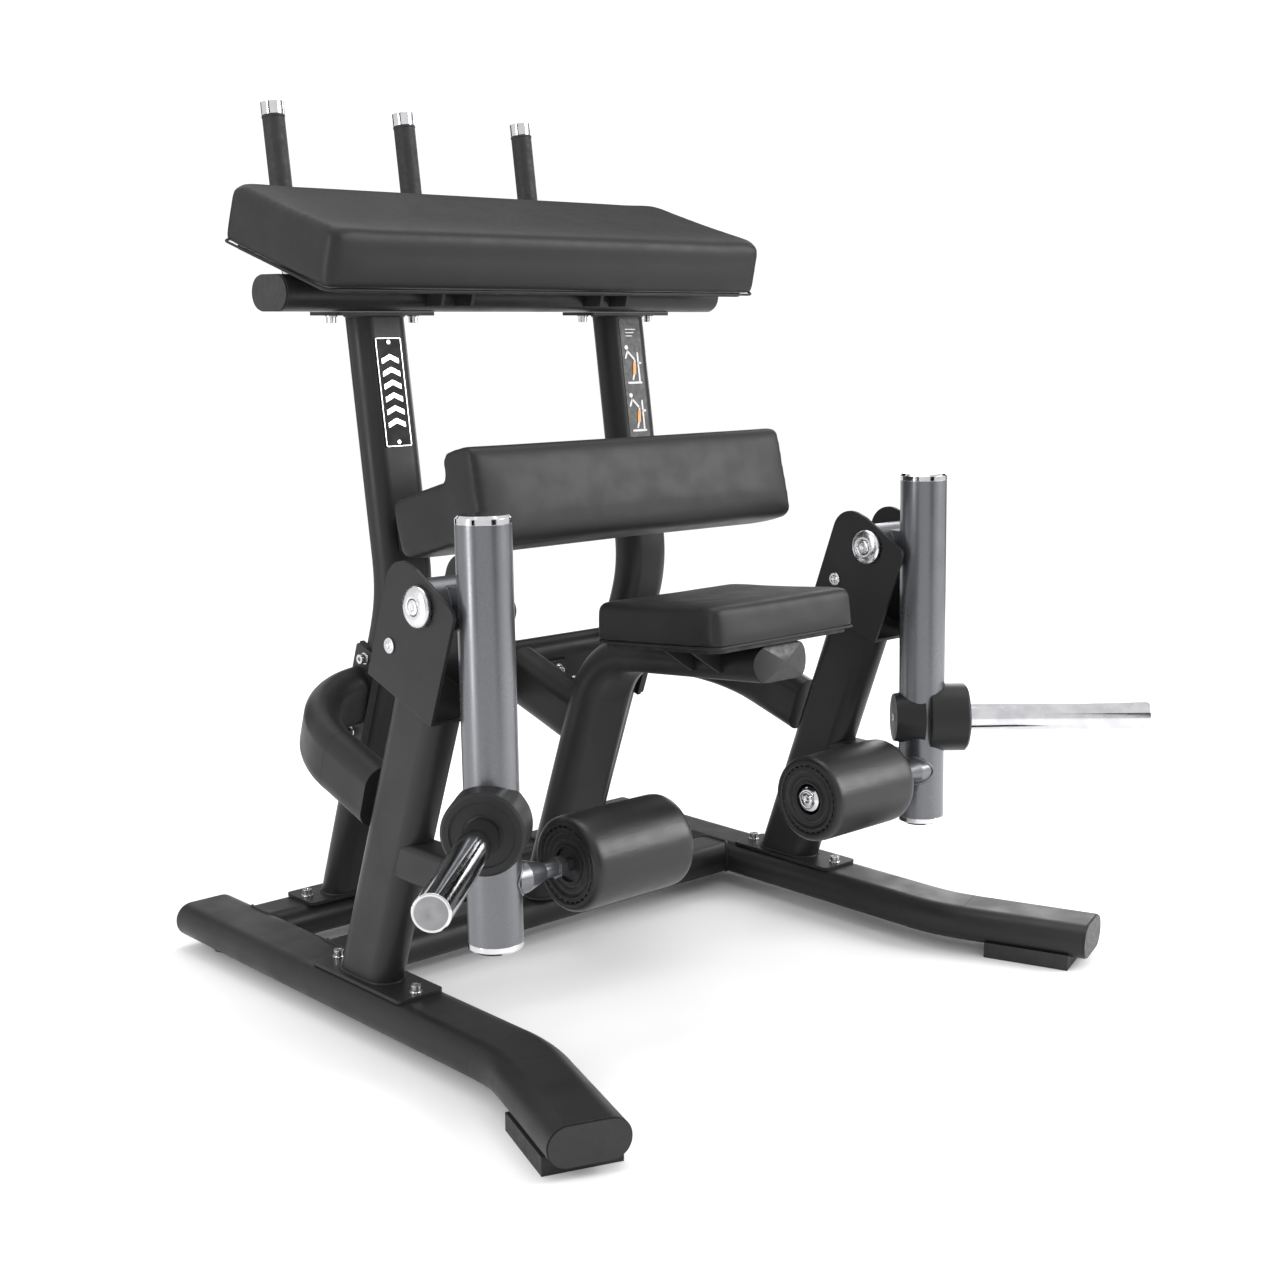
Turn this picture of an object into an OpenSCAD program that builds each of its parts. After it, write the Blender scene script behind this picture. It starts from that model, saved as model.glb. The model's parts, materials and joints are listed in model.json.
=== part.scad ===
// Plate-loaded kneeling leg curl bench, free-standing.
// Millimetres, +Z up, floor at z = 0, x = 0 is the mirror plane, the user faces +Y.
// The origin is on the floor at the centre of the footprint.

/* [Base] */
// Width of the heavy flat-oval tube of the rails and posts
rail_w = 120; // [110:1:130]
// Height of every flat-oval tube lying on the base
rail_t = 60; // [56:1:62]
// Half distance between the straight parts of the rails
rail_x = 484; // [470:1:500]
// Outward turn of each rail's front end, degrees
rail_turn = 20; // [15:1:24]
// Height of the rubber blocks that the rails stand on
foot_h = 18; // [15:1:22]

/* [Frame] */
// Width of the light flat-oval tube
tube_w = 104; // [98:1:108]
// Thickness of the light flat-oval tube
tube_t = 58; // [54:1:60]
// Lean of the front posts, degrees from vertical
post_lean = 19.8; // [18:0.1:21]
// Half distance between the rear uprights
upright_x = 271; // [265:1:276]
// Fall of the side braces toward the front, degrees
brace_tilt = 18; // [17:0.1:19]

/* [Arms] */
// Outer diameter of an arm tube
arm_d = 80; // [76:1:82]
// Diameter of the weight horns, to suit 50 mm plates
horn_d = 50; // [50:1:50]
// Usable length of a weight horn
horn_len = 327; // [300:1:340]
// Horn angle, turned from sideways toward the front, degrees
horn_turn = 41.4; // [38:0.2:44]
// Diameter of the ankle rollers
roller_d = 146; // [140:1:155]
// Length of the ankle rollers
roller_len = 203; // [190:1:206]

/* [Pads] */
// Width of the chest pad
chest_w = 946; // [900:1:960]
// Depth of the chest pad along its slope
chest_depth = 314; // [300:1:320]
// Thickness of the chest pad
chest_t = 98; // [90:1:102]
// Width of the thigh pad
thigh_w = 694; // [680:1:700]
// Width of the knee pad
knee_w = 316; // [290:1:330]
// Depth of the knee pad
knee_depth = 272; // [250:1:285]
// Thickness of the knee pad
knee_t = 65; // [55:1:70]

/* [Hidden] */
$fn = 64;

frame_y = 29.15;                // moves the footprint's centre onto the origin
plate_t = 6;                   // thickness of the mounting plates
gap = 0.3;                     // clearance between curved parts that only touch
fit = 0.05;                    // radial running clearance
swell = 0.4;                   // a bend is this much fuller than its straight runs
eps = 0.02;                    // face-to-face relief between welded tubes

rail_top = foot_h + rail_t;    // 78
floor_z = rail_top + plate_t;  // top of the foot plates, 84
rail_z = foot_h + rail_t / 2;
cross_top = rail_z + tube_t / 2;
rail_back_y = 528;
rail_bend_y = -362;
rail_front_y = -609;
rail_r = 260;

front_tube_y = 172;
rear_tube_y = 410;

post_y = 11;                   // post axis where it meets its foot plate
post_h = 502;                  // post length along its axis, up to the clevis floor
post_plate = [84, 240];
post_bolt_y = 105;

clevis_in = 50;                // half of the clear width between the ears
ear_t = 6;
ear_front = 80;
ear_back = 82;
ear_h = 198;                   // ear height above the clevis floor
ear_front_h = 178;             // the same at the ear's front edge
ear_level = 21;                // the ear's top is level behind this point
pivot_h = 655;                 // pivot height along the post axis
pivot_fwd = 4.7;
pivot_r = 15;
screw_at = [44, 66];           // cross screw of the clevis, behind the axis and above its floor

stop_size = [58, 60];
stop_height = 297;
stop_front = -253;

upright_foot_y = 395;
upright_knee = [199, 640];     // y and z where the upright turns
upright_top = [268, 1099];
upright_r = 240;
top_plate = [197, 84];
top_bolt_x = 81.5;

brace_z = 381;                 // height of the brace plane at y = 0
brace_run = 280;               // distance up the slope to the rear run
brace_r = 185;
flange = [60, 176];
flange_bolt = 71;
flange_h = 407;                // height of the side flanges along the upright
flange_out = 0.3;              // the upright's side plate stands this proud of its round edge
brace_bolts = [[88, 5], [133, -26]]; // bolts of the centre brace's flange, across and up

leg_top = [-17, 543];
leg_r = 135;
leg_front = -399;
leg_tilt = 4.9;
knee_mid_y = -288;

arm_y = -297;
arm_lean = 1.4;
arm_bottom = 220;
arm_top = 818;
arm_cap = 12;
hub_z = 397;
hub_r = 60;
hub_out = 78;                  // face of the hub, from the arm axis
hub_in = 50;
spigot_r = 24;                 // inner end of the horn, inside its hub
hub_back_r = [42, 52];          // back boss, at its outer face and at the arm axis
roller_y = -316;
roller_z = 308;
roller_out = 365;              // outer face of a roller, from the mirror plane

beam_y = 258;
beam_z = 1134.3;
chest_slope = 15.8;
thigh_lean = 15.3;

// ---------- profiles and tubes ----------

// Flat oval, round on its short sides
module oval(x, y) {
  r = min(x, y) / 2;
  if (x != y) square([x > y ? x - y : x, y > x ? y - x : y], center = true);
  for (s = [-1, 1]) translate([s * (x / 2 - r), s * (y / 2 - r)]) circle(r);
}

// Rectangle with round corners
module rounded(x, y, r) {
  square([x - 2 * r, y], center = true);
  square([x, y - 2 * r], center = true);
  for (i = [-1, 1], j = [-1, 1]) translate([i * (x / 2 - r), j * (y / 2 - r)]) circle(r);
}

// Straight tube up +Z, x across by y thick
module straight(x, y, len) linear_extrude(len) oval(x, y);

// Bend that starts up +Z and turns toward +Y
module elbow(x, y, r, turn)
  translate([0, r, 0]) rotate([90, 0, -90]) rotate_extrude(angle = turn, $fn = 96) translate([r, 0]) oval(y, x);

function heading(a, b) = atan2(b[0] - a[0], b[1] - a[1]);
function wrapped(a) = a > 180 ? a - 360 : a < -180 ? a + 360 : a;

// Tube from corner p[0] round p[1] to p[2], which lie in the YZ plane as [y, z]
module bent_tube(p, x, y, r) {
  first = heading(p[0], p[1]);
  turn = wrapped(heading(p[1], p[2]) - first);
  setback = r * tan(abs(turn) / 2);
  run_in = norm(p[1] - p[0]) - setback;
  run_out = norm(p[2] - p[1]) - setback;
  translate([0, p[0][0], p[0][1]]) rotate([-first, 0, 0]) mirror([0, turn > 0 ? 0 : 1, 0]) translate([0, 0, run_in]) {
    translate([0, 0, -run_in]) straight(x, y, run_in + swell);
    elbow(x + swell, y + swell, r, abs(turn));
    translate([0, r, 0]) rotate([-abs(turn), 0, 0]) translate([0, -r, -swell]) straight(x, y, run_out + swell);
  }
}

// Lays a YZ figure flat: its z runs toward the front and its y runs outward
module lay_flat() rotate([90, 90, 0]) children();

module plate(size, t, r = 6) linear_extrude(t) rounded(size[0], size[1], r);

// Cap screw standing up +Z on a washer
module cap_screw(d = 16, h = 10, washer_d = 20) {
  cylinder(d = washer_d, h = 2);
  translate([0, 0, 2]) difference() {
    cylinder(d = d, h = h);
    translate([0, 0, h - 5]) cylinder(d = d * 0.55, h = 6, $fn = 6);
  }
}

module both() {
  children();
  mirror([1, 0, 0]) children();
}

module side(left) mirror([left ? 1 : 0, 0, 0]) children();

module placed() translate([0, frame_y, 0]) children();

// ---------- base ----------

function rail_path() = [
  [rail_x, -rail_back_y],
  [rail_x, -rail_bend_y],
  [rail_x + (rail_bend_y - rail_front_y) * tan(rail_turn), -rail_front_y]
];

module rail_tube() translate([0, 0, rail_z]) lay_flat() bent_tube(rail_path(), rail_t, rail_w, rail_r);

module rail_cap() linear_extrude(3) oval(rail_t - 3, rail_w - 3);

module at_rail_front() {
  p = rail_path();
  translate([0, 0, rail_z]) lay_flat() translate([0, p[2][0], p[2][1]]) rotate([-rail_turn, 0, 0]) children();
}

module foot_block() {
  block = [27, 116, 146];
  difference() {
    at_rail_front() translate([rail_z - block[0], -block[1] / 2, -block[2] - 25]) cube(block);
    at_rail_front() translate([0, 0, -block[2] - 40]) straight(rail_t + 1, rail_w + 1, block[2] + 40);
  }
}

module rear_foot() {
  translate([rail_x, rail_back_y - 62, 0]) {
    cylinder(r1 = 19, r2 = 21, h = 6);
    translate([0, 0, 6]) cylinder(r = 21, h = foot_h - 6);
  }
}

module cross_tube(y)
  difference() {
    translate([-rail_x, y, rail_z]) rotate([0, 90, 0]) straight(tube_t, tube_w, 2 * rail_x);
    both() translate([rail_x, y + 200, rail_z]) rotate([90, 0, 0]) straight(rail_w + eps, rail_t + eps, 400);
  }

// ---------- posts, clevises and arms' stops ----------

module post_frame() translate([rail_x, post_y, floor_z]) rotate([post_lean, 0, 0]) children();

module post_tube(grow = 0) post_frame() translate([0, 0, -60]) straight(rail_t + grow, rail_w + grow, post_h + 60);

module post() {
  difference() {
    post_tube();
    translate([rail_x - 100, post_y - 150, -100]) cube([200, 300, 100 + floor_z]);
  }
  translate([rail_x, 0, rail_top]) difference() {
    plate(post_plate, plate_t, 8);
    for (s = [-1, 1]) translate([0, s * post_bolt_y, -1]) cylinder(r = 6, h = plate_t + 2);
  }
}

// Side of one ear, drawn with x toward the back and y up the post; its top falls away toward the front
module ear_outline() {
  back_r = 42;
  front_r = 16;
  slope = atan((ear_h - ear_front_h) / (ear_front + ear_level));
  corner = [-ear_front + front_r, ear_front_h + front_r * (tan(slope) - 1 / cos(slope))];
  touch = corner + front_r * [-sin(slope), cos(slope)];
  translate(corner) circle(front_r);
  polygon([[-ear_front, 0], [-ear_front, corner[1]], corner, touch, [ear_level, ear_h], [ear_level, 0]]);
  translate([ear_level, 0]) square([ear_back - back_r - ear_level, ear_h]);
  translate([ear_level, 0]) square([ear_back - ear_level, ear_h - back_r]);
  translate([ear_back - back_r, ear_h - back_r]) circle(back_r);
}

module clevis() post_frame() translate([0, 0, post_h]) difference() {
  union() {
    for (s = [-1, 1]) translate([s * (clevis_in + ear_t / 2) - ear_t / 2, 0, 0])
      rotate([90, 0, 90]) linear_extrude(ear_t) ear_outline();
    translate([-clevis_in, -ear_front, 0]) cube([2 * clevis_in, ear_front + ear_back, ear_t]);
  }
  translate([-100, -pivot_fwd, pivot_h - post_h]) rotate([0, 90, 0]) cylinder(r = pivot_r + fit, h = 200);
  for (s = [-1, 1]) translate([s * (clevis_in + ear_t) - 8, screw_at[0], screw_at[1]]) rotate([0, 90, 0])
    cylinder(r = 6, h = 16);
}

module stop_stub() difference() {
  translate([rail_x, stop_front, stop_height]) rotate([-90, 0, 0]) linear_extrude(180)
    rounded(stop_size[0], stop_size[1], 10);
  post_tube(eps);
  post_frame() translate([-100, -(rail_w - rail_t) / 2, -100]) cube([200, 300, 800]);
}

module stop_bumper()
  translate([rail_x, stop_front - eps, stop_height]) rotate([90, 0, 0]) linear_extrude(8)
    rounded(stop_size[0] - 6, stop_size[1] - 6, 8);

// ---------- rear frame ----------

function upright_path() = [[upright_foot_y, cross_top + plate_t], upright_knee, upright_top];

module upright_tube(grow = 0) {
  foot = upright_path()[0];
  knee = upright_path()[1];
  low = foot - (knee - foot) * 0.1;
  high = upright_top + (upright_top - knee) * 0.1;
  translate([upright_x, 0, 0]) bent_tube([low, knee, high], tube_w + grow, tube_t + grow, upright_r);
}

// Frames of an upright's two straight runs, z up along the tube
module lower_run() {
  p = upright_path();
  translate([upright_x, p[0][0], p[0][1]]) rotate([-heading(p[0], p[1]), 0, 0]) children();
}

module upper_run() {
  p = upright_path();
  translate([upright_x, p[1][0], p[1][1]]) rotate([-heading(p[1], p[2]), 0, 0]) children();
}

module two_hole_plate(size, at, along_x) difference() {
  plate(size, plate_t, 8);
  for (s = [-1, 1]) translate([along_x ? s * at : 0, along_x ? 0 : s * at, -1]) cylinder(r = 6, h = plate_t + 2);
}

module upright() {
  difference() {
    upright_tube();
    translate([0, 0, -200]) cube([600, 900, 201 + cross_top]);
    translate([0, 0, upright_top[1] + 1]) cube([600, 900, 200]);
  }
  translate([upright_x, upright_foot_y + 10, cross_top]) two_hole_plate(top_plate, top_bolt_x, true);
  translate([upright_x, upright_top[0] + 4, upright_top[1]]) two_hole_plate(top_plate, top_bolt_x, true);
  lower_run() translate([tube_w / 2 - 8, -flange[0] / 2, flange_h - flange[1] / 2])
    cube([8 + flange_out, flange[0], flange[1]]);
}

module brace_plane() translate([0, 0, brace_z]) rotate([brace_tilt, 0, 0]) children();

module crossbar() difference() {
  brace_plane() translate([-upright_x, brace_run, 0]) rotate([0, 90, 0]) straight(tube_w, tube_t, 2 * upright_x);
  both() lower_run() straight(tube_w + eps, tube_t + eps, 520);
}

module flange_frame() lower_run() translate([tube_w / 2 + flange_out + eps, 0, flange_h]) rotate([0, 90, 0]) children();

module side_brace() {
  difference() {
    brace_plane() lay_flat() bent_tube([[rail_x, 20], [rail_x, -brace_run], [upright_x, -brace_run]], tube_w, tube_t, brace_r);
    post_frame() translate([-100, -rail_w, -100]) cube([200, 1.5 * rail_w + eps, 900]);
    cube([upright_x + tube_w / 2 + flange_out + plate_t / 2, 900, 900]);
  }
  flange_frame() two_hole_plate([flange[1], flange[0]], flange_bolt, true);
}

// Seat leg, its beam and the brace behind it

function leg_path() = [
  [leg_top[0] + (leg_top[1] - 40) * 0.352, 40],
  leg_top,
  [leg_front, leg_top[1] + (leg_top[0] - leg_front) * tan(leg_tilt)]
];

module leg_tube(grow = 0) bent_tube(leg_path(), rail_w + grow, rail_t + grow, leg_r);

module seat_leg() difference() {
  leg_tube();
  translate([-200, -100, -100]) cube([400, 600, 100 + cross_top + eps]);
}

module at_leg_end() {
  p = leg_path();
  translate([0, p[2][0], p[2][1]]) rotate([-heading(p[1], p[2]), 0, 0]) children();
}

module seat_leg_cap() at_leg_end() intersection() {
  straight(rail_w - 2, rail_t - 2, 16);
  translate([0, 40, 15 - 156]) rotate([90, 0, 0]) cylinder(r = 156, h = 80, $fn = 360);
  translate([-80, 0, 15 - 60]) rotate([0, 90, 0]) cylinder(r = 60, h = 160, $fn = 180);
}

// Face of the centre brace's flange that meets the crossbar: x across, y up, z toward the front
module brace_flange_frame() brace_plane() translate([0, brace_run - tube_t / 2 - eps, 0]) rotate([90, 0, 0]) children();

module centre_brace() {
  difference() {
    brace_plane() translate([0, 0, 8]) rotate([-90, 0, 0]) straight(tube_t, tube_w, brace_run - tube_t / 2 - plate_t / 2);
    leg_tube(eps);
    translate([-100, -600, 0]) cube([200, 600 + leg_path()[0][0] - 120, 900]);
  }
  brace_flange_frame() linear_extrude(plate_t) difference() {
    polygon([[-152, -40], [152, -40], [152, -12], [106, 22], [-106, 22], [-152, -12]]);
    for (s = [-1, 1], at = brace_bolts) translate([s * at[0], at[1]]) circle(r = 6);
  }
}

// ---------- knee pad ----------

module knee_frame() {
  p = leg_path();
  z = p[1][1] + (p[1][0] - knee_mid_y) * tan(leg_tilt);
  translate([0, knee_mid_y, z]) rotate([-leg_tilt, 0, 0]) translate([0, 0, rail_t / 2]) children();
}

board_t = 6;

module knee_board() knee_frame() plate([knee_w - 16, knee_depth - 16], board_t, 20);

module knee_pad() knee_frame() translate([0, 0, board_t + eps]) cushion([knee_w, knee_depth, knee_t], 14, 8);

// Plain closed block with round vertical corners and a chamfered top
module cushion(size, r, top) {
  linear_extrude(size[2] - top) rounded(size[0], size[1], r);
  translate([0, 0, size[2] - top]) linear_extrude(top / 2) rounded(size[0] - top / 2, size[1] - top / 2, r);
  translate([0, 0, size[2] - top / 2]) linear_extrude(top / 2) rounded(size[0] - 1.5 * top, size[1] - 1.5 * top, r);
}

module knee_gusset(s, y) knee_frame() translate([0, y, 0]) rotate([90, 0, 0]) linear_extrude(5) difference() {
  polygon([[s * 40, 0], [s * 118, 0], [s * 118, -6], [s * 62, -44], [s * 40, -44]]);
  translate([0, -rail_t / 2]) oval(rail_w + eps, rail_t + eps);
}

// ---------- thigh pad ----------

thigh_at = [-76, 914];         // front top edge, y and z

module thigh_frame() translate([0, thigh_at[0], thigh_at[1]]) rotate([-thigh_lean, 0, 0]) children();

// End view of the thigh pad: x toward the back, y up
module thigh_outline() {
  r = 20;
  translate([40, -83]) rounded(80, 166, r);
  translate([40, -97]) square([60, 46]);
  translate([145, -97]) rounded(170, 102, r);
  translate([40, -148]) square([60, 102]);
}

module thigh_pad() thigh_frame() translate([-thigh_w / 2, 0, 0]) rotate([90, 0, 90]) linear_extrude(thigh_w) thigh_outline();

module thigh_board() thigh_frame() translate([0, 230 + eps, -97]) rotate([-90, 0, 0]) plate([thigh_w - 90, 86], board_t, 8);

module thigh_bracket() difference() {
  thigh_frame() translate([upright_x, 230 + board_t + 2 * eps, -97]) rotate([-90, 0, 0]) linear_extrude(150)
    rounded(44, 60, 6);
  upper_run() translate([-100, -tube_t / 2 - eps, -100]) cube([200, 300, 700]);
}

// ---------- chest pad, beam and handles ----------

module chest_beam() translate([-chest_w / 2, beam_y, beam_z]) rotate([0, 90, 0]) straight(tube_t, tube_w, chest_w);

module chest_beam_cap() translate([chest_w / 2 + eps, beam_y, beam_z]) rotate([0, 90, 0]) linear_extrude(3)
  oval(tube_t - 3, tube_w - 3);

module chest_frame() translate([0, beam_y, beam_z]) rotate([chest_slope, 0, 0]) translate([0, 10, 35.4]) children();

module chest_board() chest_frame() translate([0, 0, 0.5]) plate([chest_w - 30, chest_depth - 30], board_t, 24);

module chest_pad() chest_frame() translate([0, 0, board_t + 0.5 + eps]) cushion([chest_w, chest_depth, chest_t], 20, 14);

chest_gusset_x = [204, 143];   // in pairs, inside the uprights

module chest_gusset(x) difference() {
  chest_frame() translate([x - 3, -100, -120]) cube([6, 200, 120 + 0.5 - eps]);
  chest_beam_cut();
  translate([x - 10, beam_y - 300, beam_z - 200]) cube([20, 600, 200 - 20]);
  translate([x - 10, beam_y - 300, beam_z - 30]) rotate([-18, 0, 0]) cube([20, 200, 60]);
}

module chest_beam_cut() translate([-chest_w / 2, beam_y, beam_z]) rotate([0, 90, 0])
  straight(tube_t + eps, tube_w + eps, chest_w);

handle_d = 32;
handle_x = 276;
handle_lean = 8.4;
handle_top = [552, 1450];
handle_r = 60;
grip_len = 226;

function handle_path() = [
  [beam_y, beam_z],
  [handle_top[0] - (handle_top[1] - beam_z) * tan(handle_lean), beam_z],
  handle_top
];

module handle_tube(x) difference() {
  translate([x, 0, 0]) bent_tube(handle_path(), handle_d, handle_d, handle_r);
  chest_beam_cut();
}

module at_handle_top(x) translate([x, handle_top[0], handle_top[1]]) rotate([-handle_lean, 0, 0]) children();

module handle_grip(x) at_handle_top(x) translate([0, 0, -grip_len - 10]) difference() {
  cylinder(d = handle_d + 7, h = grip_len);
  translate([0, 0, -1]) cylinder(d = handle_d + 0.1, h = grip_len + 2);
}

module handle_cap(x) at_handle_top(x) difference() {
  translate([0, 0, -10 + eps]) cylinder(d = handle_d + 8, h = 22);
  translate([0, 0, -11]) cylinder(d = handle_d + 0.1, h = 11 + eps);
}

// ---------- name plate and guide plate ----------

// Front face of the straight upper part of an upright, z along the tube
module upright_face() {
  p = upright_path();
  translate([upright_x, p[2][0], p[2][1]]) rotate([-heading(p[1], p[2]), 0, 0])
    translate([0, -tube_t / 2 - eps, 0]) rotate([90, 0, 0]) children();
}

module name_plate() side(true) upright_face() translate([0, -130, 0]) plate([52, 180], 1.5, 3);

module name_plate_screws() side(true) upright_face() for (s = [-1, 1])
  translate([0, -130 + s * 82, 1.5 + eps]) cylinder(d = 7, h = 1.2);

module guide_plate() upright_face() translate([0, -130, 0]) plate([50, 240], 0.8, 4);

// ---------- bolts ----------

module frame_bolts() {
  both() {
    for (s = [-1, 1]) {
      translate([rail_x, s * post_bolt_y, floor_z + eps]) cap_screw();
      translate([upright_x + s * top_bolt_x, upright_foot_y + 10, cross_top + plate_t + eps]) cap_screw();
      translate([upright_x + s * top_bolt_x, upright_top[0] + 4, upright_top[1] - eps]) rotate([180, 0, 0]) cap_screw();
    }
  }
}

module flange_bolts() {
  both() flange_frame() for (s = [-1, 1]) translate([s * flange_bolt, 0, plate_t + eps]) cap_screw();
  for (s = [-1, 1], at = brace_bolts)
    brace_flange_frame() translate([s * at[0], at[1], plate_t + eps]) cap_screw();
}

module pivot_bolt() post_frame() translate([0, -pivot_fwd, pivot_h]) {
  rotate([0, 90, 0]) translate([0, 0, -clevis_in - ear_t]) cylinder(r = pivot_r, h = 2 * (clevis_in + ear_t));
  for (s = [0, 1]) mirror([s, 0, 0]) translate([clevis_in + ear_t, 0, 0]) rotate([0, 90, 0]) {
    cylinder(r = 30, h = 8);
    translate([0, 0, 8]) cylinder(r1 = 30, r2 = 20, h = 5);
  }
}

module clevis_screw() post_frame() translate([0, screw_at[0], post_h + screw_at[1]]) for (s = [0, 1]) mirror([s, 0, 0])
  translate([clevis_in + ear_t, 0, 0]) rotate([0, 90, 0]) {
    translate([0, 0, -ear_t]) cylinder(r = 5.9, h = ear_t);
    cylinder(r1 = 11.5, r2 = 10.5, h = 2.5);
  }

// ---------- arms ----------

pivot_at = [post_y - pivot_h * sin(post_lean) - pivot_fwd * cos(post_lean),
  floor_z + pivot_h * cos(post_lean) - pivot_fwd * sin(post_lean)];
housing_r = 39;

function arm_axis_y(z) = arm_y + (z - 520) * tan(arm_lean);

module arm_frame(z) translate([rail_x, arm_axis_y(z), z]) rotate([-arm_lean, 0, 0]) children();

module arm_tube(grow = 0) arm_frame(arm_bottom) cylinder(d = arm_d + grow, h = (arm_top - arm_bottom) / cos(arm_lean));

module arm() difference() {
  union() {
    arm_tube();
    translate([rail_x - clevis_in + 1, pivot_at[0], pivot_at[1]]) rotate([0, 90, 0])
      cylinder(r = housing_r, h = 2 * clevis_in - 2);
    translate([rail_x - 30, arm_axis_y(pivot_at[1]), pivot_at[1] - 30]) cube([60, 60, 60]);
  }
  translate([0, pivot_at[0], pivot_at[1]]) rotate([0, 90, 0]) cylinder(r = pivot_r + fit, h = 1000);
}

module arm_caps() {
  arm_frame(arm_top) translate([0, 0, eps]) {
    cylinder(d = arm_d, h = arm_cap - 4);
    translate([0, 0, arm_cap - 4]) cylinder(d1 = arm_d, d2 = arm_d - 8, h = 4);
  }
  arm_frame(arm_bottom) rotate([180, 0, 0]) translate([0, 0, eps]) {
    cylinder(d = arm_d, h = arm_cap - 4);
    translate([0, 0, arm_cap - 4]) cylinder(d1 = arm_d, d2 = arm_d - 10, h = 4);
    translate([0, 0, arm_cap]) cylinder(d = arm_d - 36, h = 3);
  }
}

// Frame of the horn: z runs out along it
module horn_frame() translate([rail_x, arm_axis_y(hub_z), hub_z]) rotate([0, 90, -horn_turn]) children();

module horn_hub() difference() {
  union() {
    horn_frame() translate([0, 0, 10]) cylinder(r = hub_r, h = hub_out - 14);
    horn_frame() translate([0, 0, hub_out - 4]) cylinder(r1 = hub_r, r2 = hub_r - 4, h = 4);
    horn_frame() translate([0, 0, -hub_in]) cylinder(r1 = hub_back_r[0], r2 = hub_back_r[1], h = hub_in);
  }
  arm_tube(eps);
  horn_frame() translate([0, 0, 25]) cylinder(r = spigot_r + eps, h = 100);
  horn_frame() translate([0, 0, hub_out - 12]) cylinder(r = 28, h = 20);
  horn_frame() translate([0, 0, hub_out - 3]) cylinder(r = 47, h = 10);
}

module horn() difference() {
  horn_frame() {
    translate([0, 0, 25 + eps]) cylinder(r = spigot_r, h = hub_out + 1 - 25 - eps);
    translate([0, 0, hub_out + 1]) cylinder(d = horn_d, h = horn_len - 3);
    translate([0, 0, hub_out + horn_len - 2]) cylinder(d1 = horn_d, d2 = horn_d - 3, h = 2);
  }
  arm_tube(2 * eps);
}

// Frame of the roller axis: z runs inward from the arm
module roller_frame() translate([rail_x, roller_y, roller_z]) rotate([0, -90, 0]) children();

shaft_r = 10;
boss_from = 20;
roller_gap = rail_x - roller_out;

module roller_shaft() difference() {
  roller_frame() {
    translate([0, 0, boss_from]) cylinder(r = 24, h = arm_d / 2 + 2 - boss_from);
    translate([0, 0, arm_d / 2 + 2]) cylinder(r1 = 24, r2 = 14, h = 34);
    translate([0, 0, arm_d / 2 + 36]) cylinder(r = 12, h = roller_gap - 18 - arm_d / 2 - 36);
    translate([0, 0, roller_gap - 18]) cylinder(r = 17, h = 14, $fn = 6);
    translate([0, 0, roller_gap - 4]) cylinder(r = 13, h = 2);
    translate([0, 0, roller_gap - 2]) cylinder(r = shaft_r, h = roller_len + 2 - 12);
    translate([0, 0, roller_gap + roller_len - 12]) {
      cylinder(r = 22, h = 4);
      translate([0, 0, 4]) cylinder(r1 = 22, r2 = 17, h = 5);
    }
  }
  arm_tube(eps);
}

core_r = 30;
disc_r = 56;

module roller_core() roller_frame() translate([0, 0, roller_gap]) difference() {
  union() {
    translate([0, 0, 6]) cylinder(r = core_r, h = roller_len - 12);
    for (z = [8, roller_len - 16]) translate([0, 0, z]) cylinder(r = disc_r, h = 8);
  }
  translate([0, 0, -1]) cylinder(r = shaft_r + fit, h = roller_len + 2);
  translate([0, 0, -1]) cylinder(r = 26, h = 12);
  translate([0, 0, roller_len - 13]) cylinder(r = 26, h = 14);
}

module roller_pad() roller_frame() translate([0, 0, roller_gap]) rotate_extrude() roller_outline();

// Half section of the sleeve, x outward and y along the roller
module roller_outline() {
  difference() {
    union() {
      translate([core_r + eps, 0]) square([roller_d / 2 - core_r - 12, roller_len]);
      translate([core_r + eps, 12]) square([roller_d / 2 - core_r - eps, roller_len - 24]);
      for (y = [12, roller_len - 12]) translate([roller_d / 2 - 12, y]) circle(12);
    }
    for (y = [-1, roller_len - 16 - eps]) translate([core_r - 1, y]) square([disc_r - core_r + 1.1, 17 + eps]);
  }
}

// ---------- nodes ----------

module left_rail() color("#3a3a3c") placed() side(true) rail_tube();
module right_rail() color("#3a3a3c") placed() rail_tube();
module rail_end_caps() color("#4a4a4c") placed() both() {
  at_rail_front() translate([0, 0, eps]) rail_cap();
  translate([rail_x, rail_back_y + eps, rail_z]) rotate([-90, 90, 0]) rail_cap();
}
module front_feet() color("#505052") placed() both() foot_block();
module rear_feet() color("#2b2b2d") placed() both() rear_foot();
module front_cross_tube() color("#3a3a3c") placed() cross_tube(front_tube_y);
module rear_cross_tube() color("#3a3a3c") placed() cross_tube(rear_tube_y);
module left_post() color("#3a3a3c") placed() side(true) post();
module right_post() color("#3a3a3c") placed() post();
module left_clevis() color("#3a3a3c") placed() side(true) clevis();
module right_clevis() color("#3a3a3c") placed() clevis();

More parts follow.
